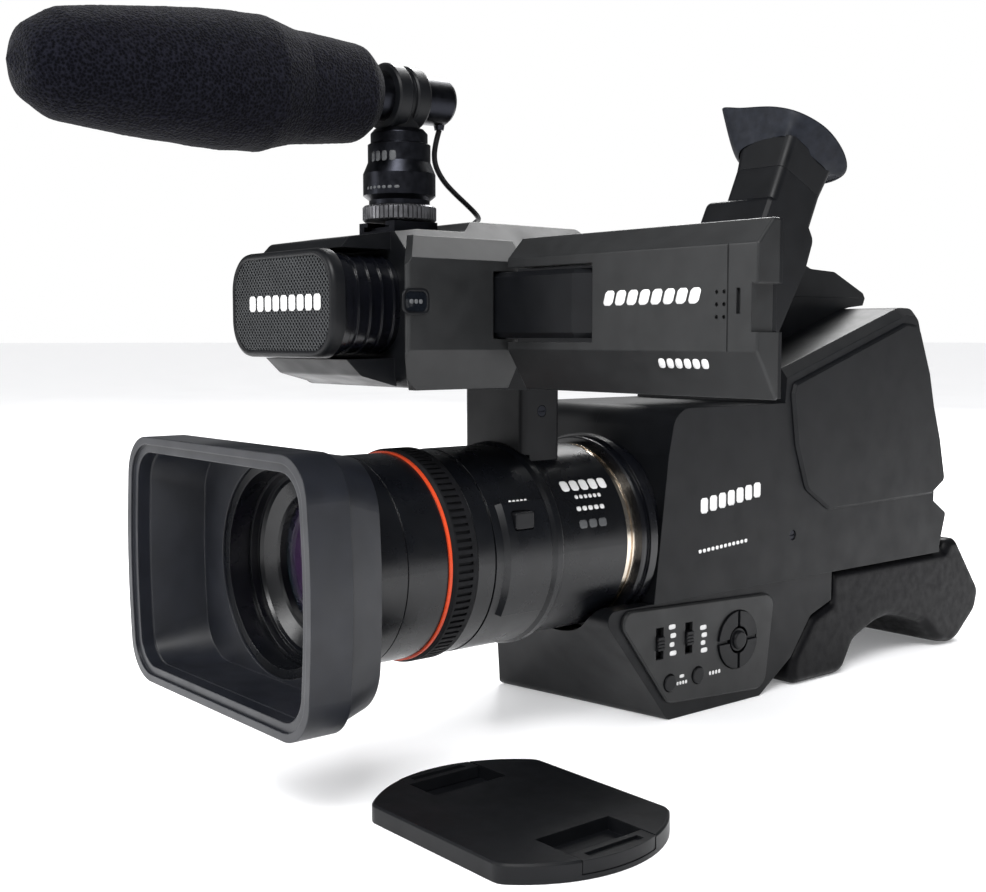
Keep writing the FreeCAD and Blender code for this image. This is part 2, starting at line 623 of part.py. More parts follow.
def make_handle():
    split, top, core = dim("handle_split"), dim("handle_top"), dim("core_top")
    left, right = dim("core_left"), dim("core_right")
    grip_left, grip_right = dim("grip_left"), dim("grip_right")
    grip = grip_left - grip_right
    # lower shell: front core, lip under the microphone neck, grip and rear leg
    low_core = prism("low_core", "YZ_Plane", [(-183, 162, 6), (-80, 158.5, 10), (-76, split),
                                              (-183, split)],
                     left - right, place=(right, 0, 0))
    lip = prism("low_lip", "YZ_Plane", [(-206, 173.6), (-199, 167, 4), (-182, 162.5), (-182, 173.9)], 62,
                place=(-30, 0, 0))
    low_grip = prism("low_grip", "YZ_Plane", [(-79, 189), (62, 189), (62, split), (-79, split)], grip,
                     place=(grip_right, 0, 0))
    foot = [(58, deck_line(58)), (148, deck_line(148)), (158, 199.4), (172, 200.8), (174, split),
            (58, split)]
    leg = prism("low_leg", "YZ_Plane", foot, 34, place=(-28, 0, 0))
    lower = fuse("handle_low", low_core, lip, low_grip, leg)
    hollow = block("core_hollow", (right + 4, -179, 168), (left - 4, -84, split + 1))
    neck_way = block("neck_way", (-24, -190, 184), (24, -175, split + 1))
    keep(fuse("handle_low_all", cut("handle_low_cut", lower, hollow, neck_way), make_post()),
         "handle_lower_shell")
    # upper shell: chamfered core with its nose over the neck, rounded grip, sloping tail
    high_core = prism("high_core", "YZ_Plane", [(-183, split), (-76, split), (-76, top, 3), (-139, top, 5),
                                                (-146, core, 5), (-171, core), (-183, core - 1.5)],
                      left - right,
                      place=(right, 0, 0))
    nose = prism("high_nose", "YZ_Plane", [(-182, 217.3), (-182, core - 1.4), (-203, 221.5, 4),
                                           (-207, 217.3)], 60,
                 place=(-30, 0, 0))
    high_grip = prism("high_grip", "YZ_Plane", [(-77, split), (62, split), (62, top), (-77, top)], grip,
                      place=(grip_right, 0, 0))
    dress(high_grip, "Fillet", 8, lambda e: e.BoundBox.YLength > 100 and e.BoundBox.ZMin > split + 10)
    tail = prism("high_tail", "YZ_Plane", [(60, split), (174, split), (172, 208, 2), (144, 219.5, 7),
                                           (122, 220.5, 8), (100, 229, 20), (60, top)], 34,
                                           place=(-28, 0, 0))
    upper = fuse("handle_high", high_core, nose, high_grip, tail)
    slopes = [prism(f"core_slope_{way}", "XZ_Plane", [(side + way, top - 15), (side + way, top + 9),
                                                      (side - 23 * way, top + 9)], 120, place=(0, -70, 0))
              for side, way in ((left, 1), (right, -1))]
    hollow_top = block("core_hollow_top", (right + 6, -179, split - 1), (left - 6, -84, core - 10))
    jack_bore = rod("jack_bore", 1.85, 14, (right - 2, JACK_AT[0], JACK_AT[1]), "x")
    spot = (grip_left - 0.1, dim("vf_pivot_y"), dim("vf_pivot_z"))
    boss = rod("vf_boss", 9.5, 2.7, spot, "x")
    pin = rod("vf_pin", 4, 18, spot, "x")
    x, y, z = RING_PIVOT
    lug = fuse("ring_lug", rod("lug_eye", 3.2, 2.4, (x - 1.2, y, z), "x"),
               block("lug_web", (x - 1.2, y - 6.5, z - 1), (x + 1.2, y, z + 3.2)))
    ring_hole = rod("lug_hole", 1.6, 4, (x - 2, y, z), "x")
    shell = cut("handle_high_cut", fuse("handle_with_lug", upper, lug), hollow_top, jack_bore, ring_hole,
                *slopes)
    keep(fuse("handle_high_all", shell, boss, pin), "handle_upper_shell")


def make_post():
    """Post from the barrel to the underside of the handle, with its saddle."""
    half = dim("post_half")
    body = new_body("post_block")
    pad(body, draw(body, "XY_Plane", box_outline(-half, -105, half, -82, 3), offset=118), 40.5 + 1)
    tools = [lens_bore("post_barrel", dim("barrel_rad") + 1.2, -110, -100.9),
             lens_bore("post_tube", dim("barrel_rad") - 1.45, -102, -70),
             rod("post_screw_head", 2.7, 2, (half - 1, -93.5, 149), "x"),
             prism("post_top", "YZ_Plane", [(-110, 159.55), (-76, 158.35), (-76, 170), (-110, 170)], 60,
                   place=(-30, 0, 0))]
    return cut("post_cut", body, *tools)


def make_mic_unit():
    """Ribbed neck and the grille head at its front."""
    z, front = dim("mic_z"), dim("grille_front")
    wide, high = dim("grille_half_w"), dim("grille_half_h")
    neck = new_body("mic_housing", z=z)
    start, end = 206, 183.1
    slim = bulged(wide - 2.6, high - 1.9, 14.5, 2.2, 40)
    rib = bulged(wide - 1.9, high - 1.2, 15, 2.2, 40)
    pad(neck, draw(neck, "XZ_Plane", slim, offset=start), start - end, reverse=True)
    for i in range(4):
        pad(neck, draw(neck, "XZ_Plane", rib, offset=start - 3 - 5.6 * i), 0.9, reverse=True)
    pad(neck, draw(neck, "XZ_Plane", bulged(wide - 2, high - 1, 15, 2.2, 40), offset=start + 5), 5.2,
        reverse=True)
    keep(neck, "mic_housing")
    head = new_body("mic_grille", z=z)
    pad(head, draw(head, "XZ_Plane", bulged(wide + 0.4, high, 16, 2.6, 40), offset=-front), 5.9,
        reverse=True)
    dress(head, "Chamfer", 1.5, lambda e: abs(e.BoundBox.YMin - front) < 0.01 and e.BoundBox.YLength < 0.01)
    pocket(head, draw(head, "XZ_Plane", bulged(wide - 2.6, high - 3, 13, 2.6, 40), offset=-front), 0.9)
    keep(head, "mic_grille")


def make_hinge_block():
    """Left front corner of the handle; its rear lugs hold the screen's hinge pin."""
    left, x, y = dim("core_left"), dim("hinge_x"), dim("hinge_y")
    body = new_body("hinge_blank", z=dim("lcd_bottom"))
    height = dim("lcd_top") - dim("lcd_bottom")
    outline = [(left, -181, 0), (60.9, -199, 1.5), (60.9, -138.9, 6.3), (left, -138.9)]
    pad(body, draw(body, "XY_Plane", outline), height)
    tools = [prism("hinge_top_slope", "XZ_Plane", [(70, 210), (61, 212.3), (53, 222), (53, 240),
                                                   (70, 240)], 90,
                   place=(0, -120, 0)),
             prism("hinge_bottom_slope", "XZ_Plane", [(70, 185), (61, 177.5), (50.5, 161), (50.5, 140),
                                                      (70, 140)], 90,
                   place=(0, -120, 0)),
             prism("hinge_top_corner", "YZ_Plane", [(-201, 210), (-197, 210), (-189, 221.6), (-189, 224),
                                                    (-201, 224)],
                   60, place=(20, 0, 0)),
             prism("hinge_low_corner", "YZ_Plane", [(-201, 169), (-197, 169), (-186, 161.4), (-186, 158),
                                                    (-201, 158)], 60, place=(20, 0, 0)),
             block("yoke_notch", (47, -155.2, 181.6), (62, -130, 208.4)),
             rod("hinge_pin_bore", 2.05, 44, (x, y, 173))]
    keep(cut("hinge_block_cut", body, *tools), "hinge_block")


# ---------------------------------------------------------------- swing-out screen

def lcd_profile(inner_y):
    """End view of the panel: bevelled along the top and the bottom of its outer face."""
    outer = dim("hinge_y") - dim("lcd_thick") / 2
    low, high = dim("lcd_bottom"), dim("lcd_top")
    return [(outer + 10, low, 1), (inner_y, low), (inner_y, high), (outer + 8, high, 1),
            (outer, high - 8.5, 1),
            (outer, low + 16.1, 1.5)]


def make_lcd():
    x, y, z = dim("hinge_x"), dim("hinge_y"), dim("twist_z")
    start, end, yoke_end = dim("lcd_start"), dim("lcd_end"), dim("yoke_end")
    make_yoke(x, y, z, yoke_end)
    outer = y - dim("lcd_thick") / 2
    seat = y + 4.3
    shell = prism("lcd_blank", "YZ_Plane", lcd_profile(seat), end - start, place=(start, 0, 0))
    dress(shell, "Fillet", 1,
          lambda e: abs(e.BoundBox.Center.x - end) < 0.01 and e.BoundBox.XLength < 0.01 and
          e.BoundBox.YMin < seat - 0.1)
    notch = block("twist_notch", (start - 1, -160, z - 14.6), (yoke_end + 0.6, -130, z + 14.6))
    tools = [notch, rod("twist_bore", 3.08, 9, (yoke_end + 0.5, y, z), "x"),
             block("lcd_hollow", (126, outer + 3, 176.5), (end - 3, seat + 1, 211)),
             block("lcd_seam", (178, outer - 1, 150), (178.5, outer + 0.4, 230)),
             block("lcd_slot", (182, outer - 1, 190), (183.6, outer + 1.5, 198.5)),
             block("lcd_finger_notch", (end - 2.6, -160, 184), (end + 1, -130, 200))]
    for i in range(3):
        for j in range(2):
            tools.append(rod(f"speaker_{i}_{j}", 0.7, 1.2, (173.5 + 3.2 * j, outer - 0.2, 189 + 4.2 * i),
                             "y"))
    keep(cut("lcd_shell_cut", shell, *tools), "lcd_back_shell")
    frame = block("bezel_blank", (start + 0.4, seat, dim("lcd_bottom") + 0.4),
                  (end - 0.4, y + 6.5, dim("lcd_top") - 0.4))
    window = block("bezel_window", (118, seat - 1, 170.5), (186, y + 8, 212.5))
    notch_too = block("bezel_notch", (start - 1, -160, z - 14.6), (yoke_end + 0.6, -130, z + 14.6))
    finger = block("bezel_finger", (end - 2.6, -160, 184), (end + 1, -130, 200))
    keep(cut("bezel_cut", frame, window, notch_too, finger), "lcd_bezel")
    keep(block("lcd_glass", (118.2, seat + 0.3, 170.7), (185.8, y + 5.9, 212.3)), "lcd_screen")


def make_yoke(x, y, z, end):
    """Arm between the two hinge pins: the upright one in the lugs, the level one in the panel."""
    half = dim("yoke_half")
    arm = new_body("yoke_arm", z=z - half)
    front = y - 7.8
    pad(arm, draw(arm, "XY_Plane", [(58.6, front), (104.5, front), (end, front + 3.6), (end, y + 6),
                                    (x, y + 6),
                                    (x, y - 6.2)]), 2 * half)
    dress(arm, "Chamfer", 2, lambda e: e.BoundBox.ZLength < 0.01 and e.BoundBox.XLength > 5 and
          e.BoundBox.YMin < front + 3.7 and e.BoundBox.XMin > 58)
    dress(arm, "Chamfer", 1, lambda e: e.BoundBox.ZLength < 0.01 and e.BoundBox.XLength > 20 and
          e.BoundBox.YMin > y + 5.9)
    knuckle = rod("knuckle", 6.2, 2 * half, (x, y, z - half))
    pin = rod("hinge_pin", 2, 42, (x, y, 174))
    shaft = rod("twist_shaft", 3, 8.5, (end - 0.5, y, z), "x")
    keep(fuse("yoke_all", arm, knuckle, pin, shaft), "lcd_yoke")


# ---------------------------------------------------------------- viewfinder

def vf_turn():
    return Rotation(Vector(1, 0, 0), -dim("vf_tilt"))


def vf_body(name):
    """A body whose Z runs up the eyepiece, from the seam."""
    return new_body(name, dim("vf_mid_x"), dim("vf_seam_y"), dim("vf_seam_z"), vf_turn())


def vf_rod(name, radius, start, length):
    along = vf_turn().multVec(Vector(0, 0, 1))
    base = Vector(dim("vf_mid_x"), dim("vf_seam_y"), dim("vf_seam_z")) + along * start
    return solid("Cylinder", name, Radius=radius, Height=length, at=tuple(base), turn=vf_turn())


def make_viewfinder():
    left, right = dim("vf_left"), dim("vf_right")
    y, z = dim("vf_pivot_y"), dim("vf_pivot_z")
    wide, deep = dim("vf_half_w"), dim("vf_half_d")
    arm = prism("vf_arm", "YZ_Plane", [(28.6, 182, 2), (50.5, 216.6, 12), (56, 230.6, 7), (49.7, 240.5, 5),
                                       (41.6, 248.5, 3), (21, 250, 3), (12, 232, 8), (6, 201, 4)],
                left - right, place=(right, 0, 0))
    dress(arm, "Fillet", 5,
          lambda e: abs(e.BoundBox.Center.x - right) < 0.01 and e.BoundBox.XLength < 0.01 and
          e.BoundBox.ZMin > 195)
    dress(arm, "Chamfer", 1.6,
          lambda e: abs(e.BoundBox.Center.x - left) < 0.01 and e.BoundBox.XLength < 0.01)
    tube = vf_body("vf_tube")
    pad(tube, draw(tube, "XY_Plane", box_outline(-wide, -deep, wide, deep, 4), offset=-20), 20)
    bore = rod("vf_pin_bore", 4.1, 17, (right - 1, y, z), "x")
    keep(cut("vf_cut", fuse("vf_all", arm, tube), bore, vf_rod("vf_light_path", 12, -12, 14)), "vf_housing")
    eye = vf_body("vf_eye_blank")
    loft(eye, [draw(eye, "XY_Plane", box_outline(-wide, -deep, wide, deep, 4), offset=0.1),
               draw(eye, "XY_Plane", box_outline(-wide - 1.2, -deep - 1.5, wide + 1.2, deep + 1.5, 4),
                    offset=16)])
    keep(cut("vf_eye_cut", eye, vf_rod("vf_eye_bore", 12.6, -1, 20)), "vf_eyepiece")
    keep(vf_rod("vf_eye_lens", 12.5, 9, 4), "vf_lens")
    cup = vf_body("vf_eyecup")
    revolve(cup, draw(cup, "XZ_Plane", [(14, 16.1), (18.5, 16.1), (22.5, 19, 5), (32.5, 27.5), (31.3, 29),
                                        (20.5, 21.5, 5), (14, 19)]))
    keep(cup, "vf_eyecup")
    dial = vf_body("vf_dial")
    pad(dial, draw(dial, "YZ_Plane", (0, 7.5, "r", 5.5), offset=-wide - 3.8), 2.2)
    keep(dial, "diopter_dial")


# ---------------------------------------------------------------- shotgun microphone

def gun_body(name):
    """A body whose Y runs back along the microphone, from above the stem."""
    return new_body(name, 0, dim("stem_y"), dim("gun_z"), Rotation(Vector(1, 0, 0), dim("gun_tilt")))


def make_shoe():
    y, base = dim("stem_y"), dim("core_top")
    rail = block("shoe_blank", (-13, y - 12, base), (13, y + 10.5, base + 5))
    slot = block("shoe_slot", (-9.3, y - 13, base + 1.2), (9.3, y + 13, base + 3.2))
    mouth = block("shoe_mouth", (-6.6, y - 13, base + 3), (6.6, y + 13, base + 6))
    keep(cut("shoe_cut", rail, slot, mouth), "accessory_shoe")


def make_stem():
    y, base, high = dim("stem_y"), dim("core_top"), dim("stem_top")
    foot = block("stem_foot", (-9, y - 9, base + 1.3), (9, y + 9, base + 3))
    column = new_body("stem_column", 0, y, 0)
    revolve(column, draw(column, "XZ_Plane", [
        (0, base + 2.5), (6.2, base + 2.5), (6.2, base + 5.1), (5, base + 5.1), (5, 238.4), (13, 238.4),
        (13, 240.4), (15.5, 242.4), (15.5, 251.5, 1), (13.4, 256.5, 2), (13.4, 263.9), (12.2, 264.4),
        (12.2, 268.6, 0.8), (10.6, high), (0, high)]))
    keep(fuse("stem_all", foot, column), "mic_stem")
    wheel = turned("lock_wheel", [(5.3, 231.4), (dim("wheel_rad") - 0.8, 231.4), (dim("wheel_rad"), 232.2),
                                  (dim("wheel_rad"), 237.3), (dim("wheel_rad") - 0.8, 238.1), (5.3, 238.1)],
                   role="XZ_Plane", y=y, z=0)
    doc.recompute()
    rad = dim("wheel_rad")
    tooth = pocket(wheel, draw(wheel, "XY_Plane", [(rad - 0.7, 0), (rad + 1, -0.75), (rad + 1, 0.75)],
                               offset=231), 8,
                   reverse=True)
    pattern = wheel.newObject("PartDesign::PolarPattern", "wheel_teeth")
    pattern.Originals = [tooth]
    pattern.Axis = (next(f for f in wheel.Origin.OriginFeatures if f.Role == "Z_Axis"), [""])
    pattern.Angle = 360
    pattern.Occurrences = 48
    wheel.Tip = pattern


CABLE_ROUTE = [(0, -135.5, 272.4), (0, -138.2, 265), (-0.6, -137.6, 257.4), (-2, -131.8, 251),
               (-4.2, -124, 246.6),
               (-7.4, -114.8, 242.6), (-12, -105.4, 239.2), (-19.4, -97, 237.4), (-29, -91.6, 237),
               (-38.4, -89.6, 234), (-44, -89.3, 227.6), (-45.2, -89.5, 220)]


def make_gun():
    rad = dim("gun_rad")
    tube = gun_body("gun_tube")
    revolve(tube, draw(tube, "XY_Plane", [(0, -140), (rad, -140), (rad, 22.6), (rad - 1.2, 24.4), (8, 24.4),
                                          (8, 23.4), (0, 23.4)]))
    gland = solid("Cone", "gland", Radius1=2, Radius2=3.4, Height=8, at=CABLE_ROUTE[0])
    keep(fuse("gun_all", tube, gland), "mic_tube")
    ring = gun_body("clamp_ring")
    revolve(ring, draw(ring, "XY_Plane", [
        (rad + 0.05, -9), (13.4, -9), (14, -8), (14, -2.6), (13.4, -1.8), (12, -1.8), (12, 0.8),
        (12.8, 0.8),
        (13.4, 1.6), (13.4, 7), (12.8, 8), (rad + 0.05, 8)]))
    top = dim("stem_top") + 0.05
    seat = rod("clamp_seat", 8.5, 6.5, (0, dim("stem_y"), top))
    under = rod("clamp_under", 18, 8, (0, dim("stem_y"), top - 8))
    gap = gun_body("clamp_gap")
    revolve(gap, draw(gap, "XY_Plane", [(0, -30), (rad + 0.05, -30), (rad + 0.05, 30), (0, 30)]))
    knob = rod("clamp_screw", 4.2, 10, (-21.5, dim("stem_y"), dim("gun_z")), "x")
    keep(cut("clamp_cut", fuse("clamp_all", ring, seat, knob), gap, under), "mic_clamp")
    foam = gun_body("foam")
    revolve(foam, draw(foam, "XY_Plane", [
        (rad + 0.05, -140.2), (rad + 0.05, -16.8), (15, -16.8, 3), (20.4, -24, 7), (22.3, -48, 20),
        (22.8, -55, 4), (26.6, -69, 12), (26.8, -86, 60), (24.9, -110, 60), (22.6, -132, 60),
        (19.9, -151, 14),
        (13, -162.5, 8), (0, -167.5), (0, -140.2)]))
    keep(foam, "foam_windscreen")
    make_cable()


def make_cable():
    """Thin lead from under the microphone to a right-angle plug in the side of the handle."""
    points = [Vector(*p) for p in CABLE_ROUTE]
    edges = []
    radii = []
    last = points[0]
    for before, here, after in zip(points, points[1:], points[2:]):
        run = min((here - before).Length, (after - here).Length)
        turn = (here - before).getAngle(after - here)
        radius = 0.45 * run / math.tan(turn / 2)
        radii.append(round(radius, 1))
        start, middle, end = corner_arc(before, here, after, radius)
        edges.append(Part.makeLine(last, start))
        edges.append(Part.Arc(start, middle, end).toShape())
        last = end
    edges.append(Part.makeLine(last, points[-1]))
    path = Part.Wire(edges)
    heading = points[1] - points[0]
    ring = Part.Wire([Part.makeCircle(dim("cable_rad"), points[0], heading)])
    lead = doc.addObject("Part::Feature", "mic_cable")
    lead.Shape = path.makePipeShell([ring], True, False, 2)
    keep(lead, "mic_cable")
    expected = math.pi * dim("cable_rad") ** 2 * path.Length
    print("cable radii", radii, "length", round(path.Length, 1), "volume ratio",
          round(lead.Shape.Volume / expected, 4))
    tip = points[-1]
    barrel = rod("plug_barrel", 3.6, 12, (tip.x, tip.y, tip.z - 12))
    shank = rod("plug_shank", 3.2, dim("core_right") - tip.x, (tip.x, *JACK_AT), "x")
    pin = rod("plug_pin", 1.75, 7, (dim("core_right") - 0.5, *JACK_AT), "x")
    keep(fuse("plug_all", barrel, shank, pin), "cable_plug")


# ---------------------------------------------------------------- lens cap

def make_lens_cap():
    x, y, thick = dim("cap_x"), dim("cap_y"), dim("cap_thick")
    rad, half = dim("cap_rad"), dim("cap_half")
    body = new_body("cap_blank", x, y)
    pad(body, draw(body, "XY_Plane", (0, 0, "r", rad)), thick)
    for side in (1, -1):
        edge = sorted((half * side, 70 * side))
        pocket(body, draw(body, "XY_Plane", box_outline(-70, edge[0], 70, edge[1]), offset=-1), thick + 2,
               reverse=True)
    dress(body, "Fillet", 7, lambda e: e.BoundBox.ZLength > thick - 0.1 and e.BoundBox.XLength < 0.01)
    dress(body, "Chamfer", 0.8, lambda e: e.BoundBox.ZMin > thick - 0.01)
    pocket(body, draw(body, "XY_Plane", box_outline(-26, -36, 26, 36, 8), offset=0), 2.4, reverse=True)
    tools = []
    for side in (1, -1):
        near, far = sorted((x + side * 29, x + side * 60))
        tools.append(block(f"latch_seat_{side}", (near, y - 18, 1.8), (far, y + 18, thick + 1)))
    keep(cut("cap_cut", body, *tools), "lens_cap")
    for side, name in ((1, "cap_latch_left"), (-1, "cap_latch_right")):
        near, far = sorted((x + side * 46, x + side * 60))
        disc = rod(name + "_disc", rad - 0.2, thick - 2.2, (x, y, 2))
        strip = block(name + "_strip", (near, y - 17.6, 2), (far, y + 17.6, thick - 0.2))
        scoop = block(name + "_scoop", (min(x + side * 48.5, x + side * 52), y - 13, thick - 1.4),
                      (max(x + side * 48.5, x + side * 52), y + 13, thick + 1))
        keep(cut(name + "_cut", common(name + "_slab", disc, strip), scoop), name)


# ---------------------------------------------------------------- right-hand side

def make_grip_side():
    side = dim("body_right")
    grip = new_body("grip_blank", x=side - 16)
    pad(grip, draw(grip, "YZ_Plane", [(-30, 62, 8), (64, 62, 8), (66, 128, 12), (-25, 142, 10)]), 15.95)
    dress(grip, "Fillet", 5,
          lambda e: abs(e.BoundBox.Center.x - side + 16) < 0.01 and e.BoundBox.XLength < 0.01)
    seat = block("rocker_seat", (side - 13, -9, 128), (side - 3, 29, 150))
    shaft = rod("rocker_shaft_bore", 1.3, 14, (side - 15, 10, 134.5), "x")
    button = rod("record_seat", 6.4, 8, (side - 8, 59, 112), "y")
    keep(cut("grip_cut", grip, seat, shaft, button), "hand_grip")
    rocker = new_body("rocker", x=side - 12.6)
    pad(rocker, draw(rocker, "YZ_Plane", [(-7, 138), (-2, 133, 3), (22, 133, 3), (27, 138),
                                          (27, 142.5, 2), (18, 141, 8),
                                          (10, 139, 10), (2, 141, 8), (-7, 142.5, 2)]), 9.2)
    doc.recompute()
    axle = rod("rocker_axle", 1.2, 12, (side - 14, 10, 134.5), "x")
    keep(fuse("rocker_all", rocker, axle), "zoom_rocker")
    record = rod("record_disc", 6, 7, (side - 8, 60.4, 112), "y")
    keep(record, "record_button")
    strap = new_body("hand_strap", z=84)
    root, bow = side - 16.05, side - 42
    outer = [(root, -22), (bow, -8, 18), (bow, 44, 18), (root, 58), (root, 53.6),
             (bow + 2.6, 42.2, 16), (bow + 2.6, -6.2, 16), (root, -17.6)]
    pad(strap, draw(strap, "XY_Plane", list(reversed(outer))), 36)
    keep(strap, "hand_strap")


def make_strap_ring():
    lean = Rotation(Vector(1, 0, 0), -28)
    centre = Vector(*RING_PIVOT) + lean.multVec(Vector(0, 5, 0))
    ring = solid("Torus", "ring_torus", Radius1=5, Radius2=1.1, at=tuple(centre), turn=lean)
    keep(ring, "strap_ring")


def make_screws():
    """Identical case screws, one solid each."""
    places = [((44.6, 58, 80.6), "x"), ((20.05, -93.5, 149), "x")]
    heads = []
    for i, (spot, axis) in enumerate(places):
        head = rod(f"screw_{i}", 2.5, 0.9, spot, axis)
        heads.append(cut(f"screw_head_{i}", head, block(f"screw_slot_{i}", (spot[0] + 0.4, spot[1] - 1.8,
                                                                            spot[2] - 0.4),
                                                        (spot[0] + 1, spot[1] + 1.8, spot[2] + 0.4))))
    group = doc.addObject("Part::Compound", "screws")
    group.Links = heads
    keep(group, "case_screws")


# ---------------------------------------------------------------- build and export

def build():
    make_hood()
    make_front_tube()
    make_accent_ring()
    make_focus_ring()
    make_barrel()
    make_function_button()
    make_rear_lens()
    make_front_glass()
    make_body_shells()
    make_side_cover()
    make_control_block()
    make_control_panel()
    make_controls()
    make_tripod_plate()
    make_shoulder_pad()
    make_insides()
    make_handle()
    make_mic_unit()
    make_hinge_block()
    make_lcd()
    make_viewfinder()
    make_shoe()
    make_stem()
    make_gun()
    make_lens_cap()
    make_grip_side()
    make_strap_ring()
    make_screws()


def check_and_export():
    doc.recompute()
    for obj in doc.Objects:
        if "Invalid" in obj.State or "Error" in obj.State:
            raise RuntimeError(f"{obj.Name} failed: {obj.State}")
    for part in parts:
        if part.Shape.isNull() or not part.Shape.isValid():
            raise RuntimeError(f"{part.Label} has no valid shape")
    os.makedirs("parts", exist_ok=True)
    for part in parts:
        part.Shape.exportStep(f"parts/{part.Label}.step")
        box = part.Shape.BoundBox
        print(f"{part.Label:20s} solids {len(part.Shape.Solids)} volume {part.Shape.Volume:10.1f} "
              f"x {box.XMin:7.1f} {box.XMax:7.1f} y {box.YMin:7.1f} {box.YMax:7.1f} "
              f"z {box.ZMin:7.1f} {box.ZMax:7.1f}")
    print(len(parts), "nodes")


build()
check_and_export()
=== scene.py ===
import json
import math

import bmesh
import bpy
from mathutils import Matrix, Vector, noise
from mathutils.bvhtree import BVHTree


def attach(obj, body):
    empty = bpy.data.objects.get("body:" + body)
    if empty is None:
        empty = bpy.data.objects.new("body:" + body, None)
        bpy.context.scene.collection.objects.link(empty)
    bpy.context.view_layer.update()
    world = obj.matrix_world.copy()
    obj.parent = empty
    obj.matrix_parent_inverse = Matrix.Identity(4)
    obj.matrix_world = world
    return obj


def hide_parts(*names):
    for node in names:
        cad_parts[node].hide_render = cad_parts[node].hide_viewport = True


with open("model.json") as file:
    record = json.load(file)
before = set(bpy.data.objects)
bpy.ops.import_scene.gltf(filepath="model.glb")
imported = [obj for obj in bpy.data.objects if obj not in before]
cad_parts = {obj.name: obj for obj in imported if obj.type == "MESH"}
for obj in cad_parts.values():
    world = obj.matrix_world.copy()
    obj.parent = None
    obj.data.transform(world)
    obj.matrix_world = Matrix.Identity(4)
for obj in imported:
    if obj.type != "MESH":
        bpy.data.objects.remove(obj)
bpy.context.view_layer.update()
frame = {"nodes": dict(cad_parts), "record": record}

# Shoulder camcorder. Metres, in the CAD frame: +X to the operator's left, -Y the lens end, Z up.

NODES = frame["nodes"]
MM = 0.001
MAIN = "camera_body"
LENS_Z = 87.7  # height of the lens axis, millimetres


def mm(x, y, z):
    return Vector((x, y, z)) * MM


# ---------------------------------------------------------------- camera and cord

CAMERA_LENS = 48.27  # millimetres
CAMERA_SENSOR = 36
CAMERA_PLACE = (0.4672, -0.4929, 0.1823)
CAMERA_YAW = 50.286  # degrees
CAMERA_PITCH = 4.704


def add_camera():
    data = bpy.data.cameras.new("camera")
    data.lens = CAMERA_LENS
    data.sensor_width = CAMERA_SENSOR
    data.clip_start = 0.01
    camera = bpy.data.objects.new("camera", data)
    bpy.context.scene.collection.objects.link(camera)
    camera.location = CAMERA_PLACE
    camera.rotation_euler = (math.pi / 2 - math.radians(CAMERA_PITCH), 0, math.radians(CAMERA_YAW))
    bpy.context.scene.camera = camera


CABLE_RADIUS = 1.2  # millimetres
CABLE_ROUTE = [(0, -135.5, 272.4), (0, -138.2, 265), (-0.6, -137.6, 257.4), (-2, -131.8, 251),
               (-4.2, -124, 246.6), (-7.4, -114.8, 242.6), (-12, -105.4, 239.2), (-19.4, -97, 237.4),
               (-29, -91.6, 237), (-38.4, -89.6, 234), (-44, -89.3, 227.6), (-45.2, -89.5, 220)]


def add_cable(material):
    curve = bpy.data.curves.new("mic_lead", "CURVE")
    curve.dimensions = "3D"
    curve.bevel_depth = CABLE_RADIUS * MM
    curve.bevel_resolution = 4
    curve.use_fill_caps = True
    spline = curve.splines.new("NURBS")
    spline.points.add(len(CABLE_ROUTE) - 1)
    for point, place in zip(spline.points, CABLE_ROUTE):
        point.co = (*mm(*place), 1)
    spline.order_u = 3
    spline.use_endpoint_u = True
    spline.resolution_u = 12
    lead = bpy.data.objects.new("mic_lead", curve)
    bpy.context.scene.collection.objects.link(lead)
    curve.materials.append(material)
    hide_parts("mic_cable")
    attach(lead, MAIN)


# ---------------------------------------------------------------- materials

